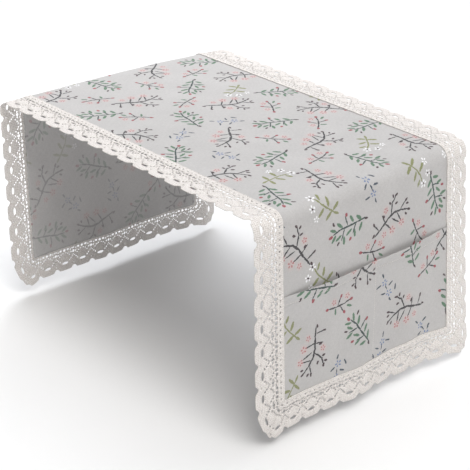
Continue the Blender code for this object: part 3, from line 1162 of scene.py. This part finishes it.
def make_cloth_material(name, ink_share):
    """Linen-coloured cloth with the print and the weave; on the reverse the inks show through faintly."""
    made, tree, shader = new_fabric(name, *CLOTH_SHEEN)
    place = flat_millimetres(tree)
    wobble = vector_total(tree, "SUBTRACT", noise(tree, place, WOBBLE_SCALE, 2.0)["Color"], (0.5, 0.5, 0.5))
    wobble = vector_total(tree, "MULTIPLY", wobble, (WOBBLE, WOBBLE, 0.0))
    drawn = vector_total(tree, "ADD", place, wobble)
    weave = use_group(tree, weave_group, (("Place", place),))
    density = noise(tree, place, DENSITY_SCALE, 2.0)["Fac"]
    times, more = [value * ink_share for value in INK_DENSITY]
    density = total(tree, "MULTIPLY_ADD", density, times, more, clamp=True)
    half_cell = (CELL[0] / 2, CELL[1] / 2, 0.0)
    large = use_group(tree, scatter_group, (("Place", drawn), ("Seed", LARGE_SEED)))
    small = use_group(tree, scatter_group, (("Place", drawn), ("Shift", half_cell), ("Seed", SMALL_SEED)))
    is_branch = total(tree, "GREATER_THAN", large["Parity"], 0.5)
    is_green = total(tree, "SUBTRACT", 1.0, is_branch)
    is_olive = total(tree, "LESS_THAN", small["Choice"], OLIVE_BELOW)
    is_twig = total(tree, "GREATER_THAN", small["Choice"], TWIG_ABOVE)
    is_blue = total(tree, "SUBTRACT", 1.0, total(tree, "ADD", is_olive, is_twig))
    colour = GROUND
    for group, placed, shown in (
        (olive_group, small, is_olive),
        (blue_group, small, is_blue),
        (twig_group, small, is_twig),
        (green_group, large, is_green),
        (branch_group, large, is_branch),
    ):
        inked = total(tree, "MULTIPLY", shown, density)
        inputs = (("Place", placed["Place"]), ("Shown", inked), ("Colour", colour))
        colour = use_group(tree, group, inputs)["Colour"]
    brightness = total(tree, "MULTIPLY_ADD", weave["Shade"], *CLOTH_SHADE)
    rough = total(tree, "MULTIPLY_ADD", weave["Height"], *CLOTH_ROUGHNESS)
    dress(tree, shader, scaled(tree, colour, brightness), rough, weave["Height"], *CLOTH_RELIEF)
    return made


cloth_material = make_cloth_material("printed cotton and linen", 1.0)
reverse_material = make_cloth_material("reverse of the printed cloth", REVERSE_INK)
for piece in (printed_cloth, pocket):
    for material in (cloth_material, reverse_material):
        piece.data.materials.append(material)
    piece.modifiers["thickness"].material_offset = 1
print("nodes in the cloth material:", len(cloth_material.node_tree.nodes))

# %% [markdown]
# ## The lace and the thread
#
# Cotton thread isn't printed, so its look comes from relief. Small rounded cells, about a millimetre wide,
# stand for the crossings of the threads, and a fine noise for the fibres. The dips between the crossings are
# painted a little darker and warmer than the tops: painted shade, on top of the shading that the relief
# gives.

# %% The cotton group
CROSSING_SIZE = 1.1
PLAIT_DRIFT = 2.4
PLAIT_DRIFT_SCALE = 0.25
PLAIT_PACE = 0.72 * math.pi
PLAIT_TURN = math.radians(45.0)
PLAIT_DEPTH = -0.32
KNOT_RANDOMNESS = 0.55
KNOT_DEPTH = 0.9
FIBRE_SCALE = 3.2
FIBRE_DETAIL = 3.0
FIBRE_HEIGHT = 0.35
# A factor and what is added, for the painted shade of the dips and for the roughness
DIP_PAINTED_SHADE = (1.2, -0.14)
COTTON_ROUGHNESS = (0.2, 0.72)
# The weight and the roughness of the sheen, and the depth of the relief
COTTON_SHEEN = (0.2, 0.5)
COTTON_RELIEF = 0.0005


def make_cotton_group():
    """Colour of twisted cotton thread with painted shade in its dips, and its height and roughness."""
    tree, given, result = new_group(
        "twisted cotton",
        (
            ("Place", "Vector", None),
            ("Crossing size", "Float", CROSSING_SIZE),
            ("Tops", "Color", linear(243, 239, 236)),
            # The colour of the dips is painted shade
            ("Shaded dips", "Color", linear(192, 184, 178)),
        ),
        (("Colour", "Color"), ("Height", "Float"), ("Roughness", "Float")),
    )
    place = given["Place"]
    scale = total(tree, "DIVIDE", 1.0, given["Crossing size"])
    inputs = (("Vector", place), ("Scale", scale), ("Randomness", KNOT_RANDOMNESS))
    knots = add_node(tree, "ShaderNodeTexVoronoi", inputs, feature="F1").outputs["Distance"]
    drift = noise(tree, place, PLAIT_DRIFT_SCALE, 1.0)["Color"]
    drift = vector_total(tree, "MULTIPLY", drift, (PLAIT_DRIFT, PLAIT_DRIFT, 0.0))
    bent = vector_total(tree, "ADD", place, drift)
    inputs = (("Vector", bent), ("Rotation", (0.0, 0.0, PLAIT_TURN)))
    turned = add_node(tree, "ShaderNodeMapping", inputs).outputs[0]
    paced = scaled(tree, turned, total(tree, "MULTIPLY", scale, PLAIT_PACE))
    waves = parts_of(tree, vector_total(tree, "SINE", paced))
    plait = total(tree, "MULTIPLY", waves["X"], waves["Y"])
    knotted = total(tree, "MULTIPLY", knots, KNOT_DEPTH)
    crossings = total(tree, "MULTIPLY_ADD", plait, PLAIT_DEPTH, knotted)
    fibres = noise(tree, place, FIBRE_SCALE, FIBRE_DETAIL)["Fac"]
    height = total(tree, "MULTIPLY_ADD", fibres, FIBRE_HEIGHT, total(tree, "SUBTRACT", 1.0, crossings))
    tree.links.new(height, result["Height"])
    # Painted shade: the lower the relief, the nearer the colour goes to the darker dips
    depth = total(tree, "MULTIPLY_ADD", crossings, *DIP_PAINTED_SHADE, clamp=True)
    tree.links.new(mix_colour(tree, depth, given["Tops"], given["Shaded dips"]), result["Colour"])
    tree.links.new(total(tree, "MULTIPLY_ADD", fibres, *COTTON_ROUGHNESS), result["Roughness"])
    return tree


cotton_group = make_cotton_group()
print("nodes in the cotton group:", len(cotton_group.nodes))


# %% The lace and the thread get their cotton
def make_cotton_material(name, place_maker, crossing, strength):
    """A cotton finish at one scale."""
    made, tree, shader = new_fabric(name, *COTTON_SHEEN)
    cotton = use_group(tree, cotton_group, (("Place", place_maker(tree)), ("Crossing size", crossing)))
    dress(tree, shader, cotton["Colour"], cotton["Roughness"], cotton["Height"], strength, COTTON_RELIEF)
    return made


def object_millimetres(tree):
    """The place in the object's own space in millimetres."""
    return scaled(tree, add_node(tree, "ShaderNodeTexCoord").outputs["Object"], MILLIMETRES)


lace_material = make_cotton_material("cotton lace", flat_millimetres, 1.15, 0.7)
thread_material = make_cotton_material("sewing thread", object_millimetres, 0.45, 0.5)
for strip in lace_strips:
    strip.data.materials.append(lace_material)
for piece in (seam_stitches, lace_cords):
    piece.data.materials.clear()
    piece.data.materials.append(thread_material)

# %% [markdown]
# ## Floor, light and camera
#
# The cover is photographed like a product: a pale floor, soft light from above and from the right, and no
# hard shadow. Two suns that are as wide as softboxes give soft shadows, a window brightens the far end of
# the top, and a pale world fills the rest. The camera's place and its direction were solved from the edges
# of the cover in the photograph.

# %% Floor and lights
FLOOR_HEIGHT = -0.2915
FLOOR_HALF_SIZE = 8.0
FLOOR_PAINT = (0.90, 0.90, 0.90, 1.0)
FLOOR_ROUGHNESS = 0.9
MIDDLE_OF_TOP = (0.0, 0.0, 0.0)
FAR_END_OF_TOP = (-0.20, 0.0, 0.0)


def make_floor():
    """A wide pale floor under the hems."""
    mesh = bmesh.new()
    bmesh.ops.create_grid(mesh, x_segments=1, y_segments=1, size=FLOOR_HALF_SIZE)
    bmesh.ops.translate(mesh, verts=mesh.verts, vec=(0.0, 0.0, FLOOR_HEIGHT))
    floor = add_object("floor", mesh_data(mesh, "floor"))
    paint = bpy.data.materials.new("pale floor")
    paint.use_nodes = True
    shader = paint.node_tree.nodes["Principled BSDF"]
    shader.inputs["Base Color"].default_value = FLOOR_PAINT
    shader.inputs["Roughness"].default_value = FLOOR_ROUGHNESS
    floor.data.materials.append(paint)


def add_light(name, kind, place, aim, power, colour):
    """A lamp that shines from a place to its aim; of a sun only that direction counts."""
    lamp = bpy.data.lights.new(name, kind)
    lamp.energy = power
    lamp.color = colour
    light = add_object(name, lamp)
    light.location = place
    light.rotation_euler = (Vector(place) - Vector(aim)).to_track_quat("Z", "Y").to_euler()
    return lamp


make_floor()
key = add_light("key", "SUN", (0.52, -0.14, 0.83), MIDDLE_OF_TOP, 1.95, (1.0, 0.985, 0.965))
key.angle = math.radians(34.0)
top = add_light("top", "SUN", (-0.20, 0.28, 0.93), MIDDLE_OF_TOP, 1.25, (0.945, 0.965, 1.0))
top.angle = math.radians(60.0)
window = add_light("window", "AREA", (-0.70, 0.45, 0.50), FAR_END_OF_TOP, 3.0, (0.94, 0.96, 1.0))
window.size = 0.5
world = bpy.data.worlds.new("studio")
world.use_nodes = True
background = world.node_tree.nodes["Background"]
background.inputs["Color"].default_value = (1.0, 1.0, 1.0, 1.0)
background.inputs["Strength"].default_value = 0.28
bpy.context.scene.world = world
bpy.context.scene.view_settings.view_transform = "Standard"
print("lights:", [light.name for light in bpy.data.lights])

# %% Camera
CAMERA_PLACE = (1.30834, -1.11322, 0.65983)
# The directions to the right of the camera, above it and behind it
CAMERA_AXES = (
    (0.6515172, 0.7586329, -0.0012214),
    (-0.3250152, 0.2805785, 0.9031283),
    (0.6854856, -0.5880067, 0.4293690),
)
SENSOR = 36.0
LENS_PIXELS = 1464.0
IMAGE_PIXELS = 470.0

camera_data = bpy.data.cameras.new("camera")
camera_data.sensor_width = SENSOR
camera_data.lens = LENS_PIXELS / IMAGE_PIXELS * SENSOR
camera_data.clip_start = 0.05
camera_data.clip_end = 50.0
camera = add_object("camera", camera_data)
camera.matrix_world = Matrix.Translation(CAMERA_PLACE) @ Matrix(CAMERA_AXES).transposed().to_4x4()
bpy.context.scene.camera = camera
print("lens in millimetres:", round(camera_data.lens, 1))
